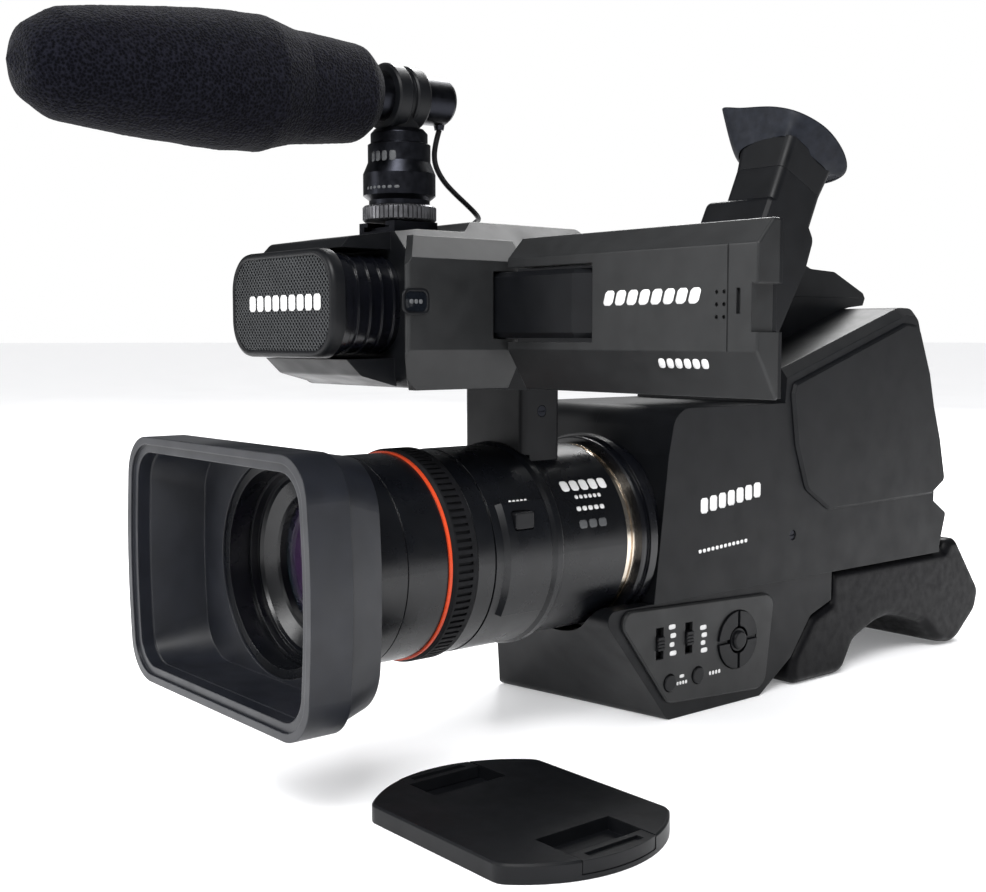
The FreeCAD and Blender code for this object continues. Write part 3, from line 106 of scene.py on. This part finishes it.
class Shader:
    """A Principled material whose colour, roughness and relief come from noise in the piece's own space."""

    def __init__(self, name, rough, metallic=0.0, specular=0.5):
        self.mat = bpy.data.materials.new(name)
        self.mat.use_nodes = True
        self.tree = self.mat.node_tree
        self.base = self.tree.nodes["Principled BSDF"]
        self.base.inputs["Roughness"].default_value = rough
        self.base.inputs["Metallic"].default_value = metallic
        self.base.inputs["Specular IOR Level"].default_value = specular
        self.where = self.tree.nodes.new("ShaderNodeTexCoord").outputs["Object"]
        self.normal = None

    def node(self, kind, **settings):
        made = self.tree.nodes.new(kind)
        for key, value in settings.items():
            setattr(made, key, value)
        return made

    def link(self, out, into):
        self.tree.links.new(out, into)

    def noise(self, size_mm, detail=2.0, rough=0.5, stretch=(1, 1, 1)):
        mapping = self.node("ShaderNodeMapping")
        mapping.inputs["Scale"].default_value = stretch
        self.link(self.where, mapping.inputs["Vector"])
        noise = self.node("ShaderNodeTexNoise")
        noise.inputs["Scale"].default_value = 1 / (size_mm * MM)
        noise.inputs["Detail"].default_value = detail
        noise.inputs["Roughness"].default_value = rough
        self.link(mapping.outputs["Vector"], noise.inputs["Vector"])
        return noise.outputs["Fac"]

    def ramp(self, source, stops):
        ramp = self.node("ShaderNodeValToRGB")
        while len(ramp.color_ramp.elements) < len(stops):
            ramp.color_ramp.elements.new(0.5)
        for element, (place, colour) in zip(ramp.color_ramp.elements, stops):
            element.position = place
            element.color = colour if len(colour) == 4 else (*colour, 1)
        self.link(source, ramp.inputs["Fac"])
        return ramp.outputs["Color"]

    def mottle(self, colour, spread=0.25, size_mm=9, detail=4):
        dark = tuple(c * (1 - spread) for c in colour[:3])
        light = tuple(min(1, c * (1 + spread)) for c in colour[:3])
        self.link(self.ramp(self.noise(size_mm, detail), [(0.3, dark), (0.7, light)]),
                  self.base.inputs["Base Color"])

    def gloss(self, low, high, size_mm=14, detail=4):
        spread = self.node("ShaderNodeMapRange")
        spread.inputs["From Min"].default_value = 0.3
        spread.inputs["From Max"].default_value = 0.7
        spread.inputs["To Min"].default_value = low
        spread.inputs["To Max"].default_value = high
        self.link(self.noise(size_mm, detail), spread.inputs["Value"])
        self.link(spread.outputs["Result"], self.base.inputs["Roughness"])

    def soft_edges(self, radius_mm):
        bevel = self.node("ShaderNodeBevel", samples=4)
        bevel.inputs["Radius"].default_value = radius_mm * MM
        self.normal = bevel.outputs["Normal"]
        self.link(self.normal, self.base.inputs["Normal"])

    def relief(self, source, height_mm, strength=1.0):
        bump = self.node("ShaderNodeBump")
        bump.inputs["Distance"].default_value = height_mm * MM
        bump.inputs["Strength"].default_value = strength
        self.link(source, bump.inputs["Height"])
        if self.normal is not None:
            self.link(self.normal, bump.inputs["Normal"])
        self.normal = bump.outputs["Normal"]
        self.link(self.normal, self.base.inputs["Normal"])


def plastic(name, colour, rough, grain_mm=0.35, depth_mm=0.02, spread=0.18, edge_mm=0.5, specular=0.2):
    """Moulded plastic: fine spark grain, slight cloudiness and softened edges."""
    s = Shader(name, rough, specular=specular)
    s.mottle(colour, spread)
    s.gloss(rough - 0.05, rough + 0.07)
    if edge_mm:
        s.soft_edges(edge_mm)
    s.relief(s.noise(grain_mm, 3, 0.6), depth_mm, 0.6)
    return s.mat


def rubber(name, colour, rough=0.62):
    s = Shader(name, rough, specular=0.12)
    s.mottle(colour, 0.25, 4)
    s.gloss(rough - 0.08, rough + 0.1, 5)
    s.soft_edges(0.4)
    s.relief(s.noise(0.22, 4, 0.7), 0.03, 0.8)
    return s.mat


def metal(name, colour, rough, grain=(1, 1, 1), grain_mm=0.4, depth_mm=0.006, edge_mm=0.25):
    """Bare or anodised metal, with brushing along the axis whose stretch is smallest."""
    s = Shader(name, rough, metallic=1.0)
    s.mottle(colour, 0.12, 3)
    s.gloss(rough - 0.05, rough + 0.08, 3)
    s.soft_edges(edge_mm)
    s.relief(s.noise(grain_mm, 3, 0.6, grain), depth_mm, 0.5)
    return s.mat


def make_materials():
    m = {
        "body_plastic": plastic("shell_plastic", (0.0034, 0.0038, 0.0048), 0.44),
        "panel_plastic": plastic("panel_satin", (0.0125, 0.0130, 0.0136), 0.40, 0.25, 0.012, specular=0.28),
        "hood_plastic": plastic("hood_satin", (0.0070, 0.0080, 0.0115), 0.40, 0.3, 0.015, edge_mm=0.7,
                                specular=0.4),
        "gloss_black": plastic("gloss_black", (0.0022, 0.0025, 0.0040), 0.22, 2.0, 0.004, edge_mm=0.4,
                               specular=0.45),
        "rubber_black": rubber("moulded_rubber", (0.0050, 0.0052, 0.0062)),
        "lens_black": plastic("lens_black", (0.0026, 0.0030, 0.0042), 0.28, 0.3, 0.006, edge_mm=0.3,
                              specular=0.36),
        "key_plastic": plastic("key_plastic", (0.0045, 0.0048, 0.0058), 0.38, 0.25, 0.01, edge_mm=0.4),
        "accent_orange": plastic("accent_orange", (0.50, 0.050, 0.014), 0.30, 0.3, 0.004, 0.08, 0.15),
        "chrome_warm": metal("warm_chrome", (0.74, 0.66, 0.56), 0.16, (1, 0.05, 1)),
        "steel": metal("brushed_steel", (0.50, 0.50, 0.51), 0.34, (0.06, 1, 1)),
        "dark_metal": metal("black_anodised", (0.020, 0.021, 0.026), 0.34, (1, 1, 0.08)),
        "wheel_metal": metal("grey_anodised", (0.16, 0.16, 0.17), 0.36, (1, 1, 0.2)),
        "board": plastic("solder_mask", (0.012, 0.09, 0.035), 0.3, 1.2, 0.02),
        "screen": plastic("display_glass", (0.004, 0.005, 0.007), 0.06, 4.0, 0.001, edge_mm=0),
        "cable": rubber("cable_jacket", (0.0080, 0.0080, 0.0090), 0.45),
    }
    m["glass_coated"] = coated_glass_painted_tint()
    m["foam"] = foam_material()
    m["strap"] = webbing()
    m["grille"] = plastic("pressed_grille", (0.030, 0.032, 0.034), 0.4, 0.3, 0.004, 0.1, 0.1)
    m["cup_rubber"] = rubber("cup_rubber", (0.0100, 0.0115, 0.0160), 0.55)
    m["pad_rubber"] = rubber("pad_rubber", (0.0022, 0.0023, 0.0030), 0.45)
    m["ink"] = plastic("white_ink", (0.62, 0.62, 0.62), 0.5, 0.5, 0.004, 0.06, 0)
    m["grey_ink"] = plastic("grey_ink", (0.075, 0.078, 0.082), 0.5, 0.5, 0.004, 0.06, 0)
    return m


def coated_glass_painted_tint():
    s = Shader("coated_glass_painted_tint", 0.04, specular=0.9)
    # Painted reflection: the coating's real reflection tints are painted into the base colour by view
    # angle, deep blue facing the view, purple between and teal at grazing.
    facing = s.node("ShaderNodeLayerWeight")
    facing.inputs["Blend"].default_value = 0.35
    s.link(s.ramp(facing.outputs["Facing"], [(0.0, (0.010, 0.010, 0.022)), (0.45, (0.030, 0.012, 0.042)),
                                            (0.8, (0.012, 0.030, 0.030))]), s.base.inputs["Base Color"])
    s.base.inputs["Coat Weight"].default_value = 1.0
    s.base.inputs["Coat Roughness"].default_value = 0.02
    s.gloss(0.03, 0.06, 20)
    return s.mat


def foam_material():
    """Open-cell foam: tiny pores darkened with painted shade, no gloss, a little fuzz at grazing angles."""
    s = Shader("open_cell_foam", 0.95, specular=0.02)
    cells = s.node("ShaderNodeTexVoronoi")
    cells.inputs["Scale"].default_value = 1 / (1.1 * MM)
    s.link(s.where, cells.inputs["Vector"])
    # Painted shade: the pore centres are darker than the strands round them; the strands keep the foam's
    # own blue-black.
    strand_tone_and_pore_shade = [(0.0, (0.0004, 0.0004, 0.0007)), (0.35, (0.0012, 0.0013, 0.0026)),
              (0.8, (0.0060, 0.0062, 0.0100))]
    s.link(s.ramp(cells.outputs["Distance"], strand_tone_and_pore_shade), s.base.inputs["Base Color"])
    s.base.inputs["Sheen Weight"].default_value = 0.05
    s.base.inputs["Sheen Roughness"].default_value = 0.5
    s.relief(cells.outputs["Distance"], 0.45, 0.8)
    s.relief(s.noise(0.5, 3, 0.7), 0.25, 0.6)
    return s.mat


def webbing():
    s = Shader("strap_webbing", 0.85, specular=0.2)
    s.mottle((0.008, 0.008, 0.010), 0.3, 3)
    wave = s.node("ShaderNodeTexWave", bands_direction="DIAGONAL")
    wave.inputs["Scale"].default_value = 260
    wave.inputs["Distortion"].default_value = 0.6
    s.link(s.where, wave.inputs["Vector"])
    s.base.inputs["Sheen Weight"].default_value = 0.3
    s.relief(wave.outputs["Fac"], 0.25, 0.6)
    s.relief(s.noise(0.3, 3), 0.1, 0.6)
    return s.mat


# ---------------------------------------------------------------- mesh helpers

def add_piece(name, verts, faces, material, body=MAIN, matrix=None, smooth=True):
    """Mesh in millimetres, placed by matrix (millimetres too), riding on a body."""
    mesh = bpy.data.meshes.new(name)
    place = matrix or Matrix.Identity(4)
    mesh.from_pydata([(place @ Vector(v)) * MM for v in verts], [], faces)
    mesh.validate()
    mesh.polygons.foreach_set("use_smooth", [smooth] * len(mesh.polygons))
    form = bmesh.new()
    form.from_mesh(mesh)
    bmesh.ops.recalc_face_normals(form, faces=form.faces)
    form.to_mesh(mesh)
    form.free()
    piece = bpy.data.objects.new(name, mesh)
    bpy.context.scene.collection.objects.link(piece)
    mesh.materials.append(material)
    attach(piece, body)
    return piece


def modifier(piece, kind, **settings):
    made = piece.modifiers.new(kind.lower(), kind)
    for key, value in settings.items():
        setattr(made, key, value)
    return made


def tube_faces(rings, count):
    """Quads between successive closed rings of count vertices each."""
    faces = []
    for r in range(rings - 1):
        for i in range(count):
            j = (i + 1) % count
            faces.append((r * count + i, r * count + j, (r + 1) * count + j, (r + 1) * count + i))
    return faces


def resample(points, step):
    """Points along the polyline, no further apart than step."""
    out = [points[0]]
    for a, b in zip(points, points[1:]):
        parts = max(1, math.ceil(math.dist(a, b) / step))
        out += [tuple(p + (q - p) * k / parts for p, q in zip(a, b)) for k in range(1, parts + 1)]
    return out


def rounded_profile(points, step=0.8):
    """(x, y, radius) corners to a polyline whose corners are rounded."""
    out = []
    for k, (x, y, radius) in enumerate(points):
        if not radius or k in (0, len(points) - 1):
            out.append((x, y))
            continue
        here = Vector((x, y))
        a, b = Vector(points[k - 1][:2]) - here, Vector(points[k + 1][:2]) - here
        half = a.angle(b) / 2
        reach = min(radius / math.tan(half), a.length * 0.48, b.length * 0.48)
        start, end = here + a.normalized() * reach, here + b.normalized() * reach
        for i in range(9):
            t = i / 8
            out.append(tuple((1 - t) ** 2 * start + 2 * t * (1 - t) * here + t * t * end))
    return resample(out, step)


# ---------------------------------------------------------------- foam windscreen

GUN_TILT = 1.85  # degrees
FOAM_SIDES = 190
PORES = ((0.9, 0.16), (0.12, 0.28))  # noise frequency and depth of the pores and of the slow waves
FOAM_SINK = 0.18


def gun_frame():
    """Millimetre frame of the gun microphone: its own Z runs back along the tube."""
    tilt = math.radians(GUN_TILT)
    back = Vector((0, math.cos(tilt), math.sin(tilt)))
    side = Vector((1, 0, 0))
    up = back.cross(side)
    turn = Matrix((side, up, back)).transposed().to_4x4()
    return Matrix.Translation((0, -157, 283.8)) @ turn


def add_windscreen():
    outline = [(10.3, -140.0, 0), (10.3, -17.0, 0), (14.8, -17.0, 3), (20.2, -24, 7), (22.1, -48, 20),
               (22.6, -55, 4), (26.3, -69, 12), (26.5, -86, 60), (24.6, -110, 60), (22.3, -132, 60),
               (19.6, -151, 14), (12.8, -162.2, 8), (0.2, -167.2, 0)]
    bore = outline[0][0]
    profile = rounded_profile(outline, 0.9)
    count = FOAM_SIDES
    verts = []
    for radius, along in profile:
        for i in range(count):
            turn = 2 * math.pi * i / count
            spot = Vector((radius * math.cos(turn), radius * math.sin(turn), along))
            pores = sum(noise.noise(spot * often) * deep for often, deep in PORES) - FOAM_SINK
            if radius > bore + 0.1:
                spot += Vector((math.cos(turn), math.sin(turn), 0)) * pores
            verts.append(spot)
    faces = tube_faces(len(profile), count)
    faces.append(tuple(range((len(profile) - 1) * count, len(profile) * count)))
    foam = add_piece("windscreen_foam", verts, faces, MATS["foam"], matrix=gun_frame())
    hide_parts("foam_windscreen")


# ---------------------------------------------------------------- microphone grille

GRILLE_FRONT = -217.0
GRILLE_BACK = -211.1
GRILLE_Z = 195.5
HOLE_PITCH = 1.13  # half the distance between holes in a row
HOLE_RADIUS = 0.62
HOLE_SIDES = 8
HOLE_REACH = 34  # rows each way, more than fill the outline


def bulged_outline(half_w, half_h, corner, bulge, count=24):
    """Rounded rectangle whose ends bow outwards, as (x, z) points."""
    points = []
    for sx, sz, start in ((1, 1, 0), (-1, 1, 90), (-1, -1, 180), (1, -1, 270)):
        for i in range(count):
            turn = math.radians(start + 90 * i / (count - 1))
            x = sx * (half_w - corner) + corner * math.cos(turn)
            z = sz * (half_h - corner) + corner * math.sin(turn)
            points.append((x + math.copysign(bulge * (1 - (z / half_h) ** 2) - bulge, x) * 0.5, z))
    return points


def add_grille():
    """Bevelled frame and a pressed plate with staggered holes, in front of a dark screen."""
    front, mid, back = GRILLE_FRONT, GRILLE_Z, GRILLE_BACK
    rings = [(39.5, 21.4, back), (39.5, 21.4, front + 2.0), (39.1, 21.0, front + 0.8),
             (38.3, 20.2, front + 0.15), (37.7, 19.6, front), (37.0, 18.9, front + 0.1),
             (36.6, 18.5, front + 0.5), (36.5, 18.4, front + 1.6)]
    verts = []
    for half_w, half_h, y in rings:
        verts += [(x, y, mid + z) for x, z in bulged_outline(half_w, half_h, half_h * 0.74, 2.2)]
    count = len(verts) // len(rings)
    frame_piece = add_piece("grille_frame", verts, tube_faces(len(rings), count), MATS["body_plastic"])
    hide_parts("mic_grille")
    limit = bulged_outline(36.6, 18.5, 13.7, 2.2)
    half, hole, sides = HOLE_PITCH, HOLE_RADIUS, HOLE_SIDES
    verts, faces = [], []
    for i in range(-HOLE_REACH, HOLE_REACH + 1):
        for j in range(-HOLE_REACH, HOLE_REACH + 1):
            x, z = half * (i + j), half * (i - j)
            if not inside(limit, x, z):
                continue
            first = len(verts)
            for k in range(sides):
                turn = math.radians(360 * k / sides)
                reach = half if k % 2 == 0 else half / math.sqrt(2)
                dome = front + 0.45 + (x * x + z * z) * 0.00012
                verts.append((x + reach * math.cos(turn), dome, mid + z + reach * math.sin(turn)))
                verts.append((x + hole * math.cos(turn), dome + 0.12, mid + z + hole * math.sin(turn)))
            for k in range(sides):
                n = (k + 1) % sides
                faces.append((first + 2 * k, first + 2 * n, first + 2 * n + 1, first + 2 * k + 1))
    plate = add_piece("grille_plate", verts, faces, MATS["grille"], smooth=False)
    modifier(plate, "SOLIDIFY", thickness=0.35 * MM, offset=0)
    shade = [(x * 0.99, front + 1.6 + 0.4 * (k % 2), mid + z * 0.99) for k, (x, z) in enumerate(limit)]
    backing = add_piece("grille_backing", shade, [tuple(range(len(shade)))], MATS["foam"])
    modifier(backing, "SOLIDIFY", thickness=0.5 * MM)


def inside(outline, x, z):
    hit = False
    for (x1, z1), (x2, z2) in zip(outline, outline[1:] + outline[:1]):
        if (z1 > z) != (z2 > z) and x < (x2 - x1) * (z - z1) / (z2 - z1) + x1:
            hit = not hit
    return hit


# ---------------------------------------------------------------- eyecup

EYE_AT = (42.8, 44.7, 258.2)
EYE_LEAN = -25  # degrees about X
CUP_SIDES = 120
CUP_OUTER_STEPS = 18
CUP_INNER_STEPS = 14


def eye_frame():
    return Matrix.Translation(EYE_AT) @ Matrix.Rotation(math.radians(EYE_LEAN), 4, "X")


def catmull(points, t):
    """Point at t in 0..1 round the closed run of points."""
    count = len(points)
    f = t * count
    k = int(f) % count
    u = f - int(f)
    p0, p1, p2, p3 = (Vector(points[(k + d) % count]) for d in (-1, 0, 1, 2))
    return 0.5 * (2 * p1 + (p2 - p0) * u + (2 * p0 - 5 * p1 + 4 * p2 - p3) * u * u
                  + (3 * p1 - p0 - 3 * p2 + p3) * u * u * u)


def add_eyecup():
    """Rubber cup that flares from the eyepiece to an oval rim with a raised flap on the nose side."""
    rim = [(23.0, -2, 27), (23.8, 14, 22.5), (18, 25, 18.5), (3, 29, 16.5), (-14, 27, 19), (-26, 16, 25),
           (-32, 0, 30), (-33, -14, 33), (-29.5, -24.5, 33.5), (-16, -25, 31.5), (4, -23.5, 30),
           (16, -16, 29)]
    foot = [(16.4, 0, 14), (16.4, 12, 14), (13, 18.3, 14), (0, 18.6, 14), (-13, 18.3, 12), (-17.5, 12, 9),
            (-18, 0, 8), (-18, -12, 8), (-14, -18.2, 11), (-5, -18.4, 14.5), (5, -18.4, 15.5),
            (13.5, -17.4, 15)]
    count = CUP_SIDES
    verts = []
    for s in range(CUP_OUTER_STEPS + 1):
        t = s / CUP_OUTER_STEPS
        for i in range(count):
            out = t ** (0.92 + 0.34 * math.cos(2 * math.pi * i / count))
            a, b = catmull(foot, i / count), catmull(rim, i / count)
            verts.append((a.x + (b.x - a.x) * out, a.y + (b.y - a.y) * out, a.z + (b.z - a.z) * t ** 0.95))
    lip = (0.985, 0.96)
    for reach in lip:
        for i in range(count):
            b = catmull(rim, i / count)
            verts.append((b.x * reach, b.y * reach, b.z - (1 - reach) * 12))
    for s in range(1, CUP_INNER_STEPS + 1):
        t = 1 - s / CUP_INNER_STEPS
        for i in range(count):
            out, up = t ** (0.94 + 0.30 * math.cos(2 * math.pi * i / count)), t ** 0.95
            a, b = catmull(foot, i / count), catmull(rim, i / count)
            ax, ay = a.x * 0.8, a.y * 0.74
            verts.append((ax + (b.x * 0.955 - ax) * out, ay + (b.y * 0.955 - ay) * out,
                          16.4 + (b.z - 0.6 - 16.4) * up))
    rings = CUP_OUTER_STEPS + 1 + len(lip) + CUP_INNER_STEPS
    cup = add_piece("rubber_eyecup", verts, tube_faces(rings, count), MATS["cup_rubber"],
                    "viewfinder", eye_frame())
    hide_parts("vf_eyecup")


# ---------------------------------------------------------------- soft pads

def soften(node, name, voxel, rounds, material, body=MAIN):
    """Swollen, rounded stand-in for a plain soft solid, kept inside the space of that solid."""
    piece = bpy.data.objects.new(name, NODES[node].data.copy())
    piece.matrix_world = NODES[node].matrix_world.copy()
    bpy.context.scene.collection.objects.link(piece)
    piece.data.materials.clear()
    piece.data.materials.append(material)
    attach(piece, body)
    modifier(piece, "REMESH", mode="VOXEL", voxel_size=voxel * MM, use_smooth_shade=True)
    modifier(piece, "SMOOTH", factor=0.5, iterations=rounds)
    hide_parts(node)
    return piece


# ---------------------------------------------------------------- printed marks

def surface(nodes):
    """Ray-casting tree of several CAD nodes at rest, in metres."""
    verts, faces = [], []
    for name in nodes:
        node = NODES[name]
        first = len(verts)
        verts += [node.matrix_world @ v.co for v in node.data.vertices]
        faces += [tuple(first + i for i in p.vertices) for p in node.data.polygons]
    return BVHTree.FromPolygons(verts, faces)


def print_bars(name, nodes, ray, bars, material, body=MAIN, lift=0.06, slant=0.0):
    """Rounded bars laid on a surface. ray(u, v) gives the start and direction that finds the surface."""
    tree = surface(nodes)
    verts, faces = [], []
    for u, v, wide, high in bars:
        nu, nv = max(3, math.ceil(wide / 1.2)), max(3, math.ceil(high / 1.2))
        first = len(verts)
        soft = min(wide, high) * 0.1
        for i in range(nu + 1):
            for j in range(nv + 1):
                a, b = (i / nu - 0.5) * wide, (j / nv - 0.5) * high
                if i in (0, nu) and j in (0, nv):
                    a, b = a - math.copysign(soft, a), b - math.copysign(soft, b)
                start, way = ray(u + a + b * slant, v + b)
                hit, normal, _, _ = tree.ray_cast(mm(*start), Vector(way))
                if hit is None:
                    raise RuntimeError(f"{name}: nothing under {u + a:.1f}, {v + b:.1f}")
                if normal.dot(Vector(way)) > 0:
                    normal = -normal
                verts.append((hit + normal * lift * MM) / MM)
        for i in range(nu):
            for j in range(nv):
                k = first + i * (nv + 1) + j
                faces.append((k, k + 1, k + nv + 2, k + nv + 1))
    piece = add_piece(name, verts, faces, material, body)
    modifier(piece, "SOLIDIFY", thickness=0.07 * MM, offset=0)
    return piece


def from_left(start=120):
    """Rays along -X over a side face: u is Y, v is Z."""
    return lambda u, v: ((start, u, v), (-1, 0, 0))


def from_front(start=-300):
    """Rays along +Y over a front face: u is X, v is Z."""
    return lambda u, v: ((u, start, v), (0, 1, 0))


ARC_RADIUS = 45


def round_lens(u, v):
    """Rays towards the lens axis: u is Y, v is millimetres of arc up from the level side."""
    turn = v / ARC_RADIUS
    x, z = math.cos(turn), math.sin(turn)
    return (80 * x, u, LENS_Z + 80 * z), (-x, 0, -z)


def row(u, v, wide, high, count, gap=0.3, slope=0.0):
    """A row of equal upright bars that fills wide by high, centred on u and v."""
    pitch = wide / count
    return [(u + (k + 0.5 - count / 2) * pitch, v + (k + 0.5 - count / 2) * pitch * slope,
             pitch * (1 - gap), high) for k in range(count)]


def add_hinge_window():
    """Raised rim round a small window on the outer face of the hinge block."""
    x, y, z = 60.9, -193.4, 195.8
    rings = [(6.2, 5.0, -0.4), (6.2, 5.0, 0.25), (5.9, 4.7, 0.45), (5.2, 4.0, 0.45), (5.0, 3.8, 0.15),
             (5.0, 3.8, -0.4)]
    verts = []
    for half_w, half_h, out in rings:
        verts += [(x + out, y + v, z + w) for v, w in bulged_outline(half_w, half_h, half_h * 0.6, 0, 8)]
    count = len(verts) // len(rings)
    add_piece("hinge_window_rim", verts, tube_faces(len(rings), count), MATS["body_plastic"])
    pane = [(x + 0.1, y + v, z + w) for v, w in bulged_outline(5.0, 3.8, 2.3, 0, 8)]
    centre = [(x + 0.16, y + v * 0.5, z + w * 0.5) for v, w in bulged_outline(5.0, 3.8, 2.3, 0, 8)]
    faces = tube_faces(2, count) + [tuple(range(count, 2 * count))]
    add_piece("hinge_window_pane", pane + centre, faces, MATS["screen"])
    print_bars("hinge_window_mark", ["hinge_block"], from_left(), row(y, z, 6.4, 1.7, 3, 0.2),
               MATS["grey_ink"], lift=0.3)


def add_marks():
    ink, grey = MATS["ink"], MATS["grey_ink"]
    side, front = from_left(), from_front()
    print_bars("grille_mark", ["mic_grille"], front, row(3.5, 195.9, 56, 6.4, 9, 0.2), ink,
               lift=0.75)
    print_bars("screen_mark", ["lcd_back_shell"], front, row(143.3, 196.4, 47, 5.4, 8, 0.2), ink,
               "screen_panel", slant=0.3)
    print_bars("screen_small_mark", ["lcd_back_shell"], front, row(156.6, 173.2, 24, 3.4, 6, 0.22), ink,
               "screen_panel", slant=0.25)
    shells = ["body_shell_left", "rear_side_cover", "lens_mount_bezel", "control_block"]
    print_bars("body_mark", shells, side, row(9, 103.8, 46, 7.5, 7, 0.2, 0.12), ink)
    print_bars("body_line_mark", shells, side, row(3.6, 80.4, 37, 1.8, 12, 0.3, 0.06), ink)
    tubes = ["lens_rear_tube", "lens_barrel"]
    arc = ARC_RADIUS * math.pi / 180  # millimetres of arc in a degree
    print_bars("zoom_mark", tubes, round_lens, row(-79.9, 39.3 * arc, 29, 5.6, 5, 0.2), ink)
    print_bars("zoom_line_marks", tubes, round_lens, row(-80.3, 31.6 * arc, 17, 1.9, 6, 0.3)
               + row(-81, 24.3 * arc, 18, 2.2, 5, 0.25), ink)
    print_bars("zoom_box_mark", tubes, round_lens, row(-81.6, 15 * arc, 18, 4.0, 3, 0.2), grey)
    print_bars("button_mark", ["lens_barrel"], round_lens, row(-123, 32 * arc, 11, 1.5, 5, 0.3), ink)
    panel = ["control_panel"]
    icons = []
    for y, z, tall in ((-33.1, 39.1, 17), (-11.0, 36.5, 15)):
        for k in range(4):
            icons.append((y + (k % 2) * 0.8, z + tall * (0.375 - 0.25 * k), 4.6 - (k % 3) * 0.7, 2.3))
    print_bars("panel_icons", panel, side, icons + row(-25.9, 17.4, 8, 1.7, 4) + row(-2.2, 18.6, 9, 1.9, 4)
               + [(-25.9, 20.6, 3.2, 1.6)], ink)
    print_bars("stem_marks", ["mic_stem"], front,
               row(4.5, 258.2, 12, 4.2, 4) + row(5.5, 245, 15, 1.3, 7, 0.35), grey)


add_camera()
MATS = make_materials()
add_cable(MATS["cable"])


def dress_nodes():
    """Gives every carried CAD node the material of its slot."""
    slots = {part["node"]: part["material_slot"] for part in frame["record"]["subparts"]}
    for name, node in NODES.items():
        node.data.materials.clear()
        node.data.materials.append(MATS[slots[name]])


dress_nodes()
add_windscreen()
add_grille()
add_eyecup()
soften("hand_strap", "padded_hand_strap", 1.0, 6, MATS["strap"])
soften("shoulder_pad", "padded_shoulder_pad", 1.4, 4, MATS["pad_rubber"])
add_marks()
add_hinge_window()


# ---------------------------------------------------------------- floor and light

def add_lamp(name, place, target, size, power, colour=(1, 1, 1)):
    data = bpy.data.lights.new(name, "AREA")
    data.shape = "RECTANGLE"
    data.size, data.size_y = size
    data.energy = power
    data.color = colour
    lamp = bpy.data.objects.new(name, data)
    bpy.context.scene.collection.objects.link(lamp)
    lamp.location = place
    aim = Vector(target) - Vector(place)
    lamp.rotation_euler = aim.to_track_quat("-Z", "Y").to_euler()


def add_studio():
    mesh = bpy.data.meshes.new("floor")
    form = bmesh.new()
    bmesh.ops.create_grid(form, x_segments=2, y_segments=2, size=40)
    form.to_mesh(mesh)
    form.free()
    floor = bpy.data.objects.new("floor", mesh)
    bpy.context.scene.collection.objects.link(floor)
    floor.location.z = -0.0002
    s = Shader("pale_floor", 0.6, specular=0.1)
    s.mottle((0.86, 0.86, 0.87), 0.01, 300)
    s.gloss(0.5, 0.6, 200)
    s.base.inputs["Emission Color"].default_value = (0.97, 0.98, 1, 1)
    s.base.inputs["Emission Strength"].default_value = 0.17
    mesh.materials.append(s.mat)
    world = bpy.data.worlds.new("studio")
    bpy.context.scene.world = world
    world.use_nodes = True
    tree = world.node_tree
    seen = tree.nodes["Background"]
    seen.inputs["Color"].default_value = (1, 1, 1, 1)
    felt = tree.nodes.new("ShaderNodeBackground")
    felt.inputs["Color"].default_value = (0.93, 0.96, 1, 1)
    felt.inputs["Strength"].default_value = 0.10
    path = tree.nodes.new("ShaderNodeLightPath")
    mix = tree.nodes.new("ShaderNodeMixShader")
    tree.links.new(path.outputs["Is Glossy Ray"], mix.inputs["Fac"])
    tree.links.new(seen.outputs["Background"], mix.inputs[1])
    tree.links.new(felt.outputs["Background"], mix.inputs[2])
    tree.links.new(mix.outputs["Shader"], tree.nodes["World Output"].inputs["Surface"])
    add_lamp("key", (0.9, -1.1, 1.5), (0, -0.05, 0.12), (0.9, 0.6), 40)
    add_lamp("front", (-0.7, -1.5, 0.9), (0, -0.2, 0.12), (0.5, 0.9), 15)
    add_lamp("back", (-0.8, 1.2, 1.6), (0, 0, 0.15), (1.2, 0.6), 52)


add_studio()
bpy.context.scene.view_settings.view_transform = "Standard"
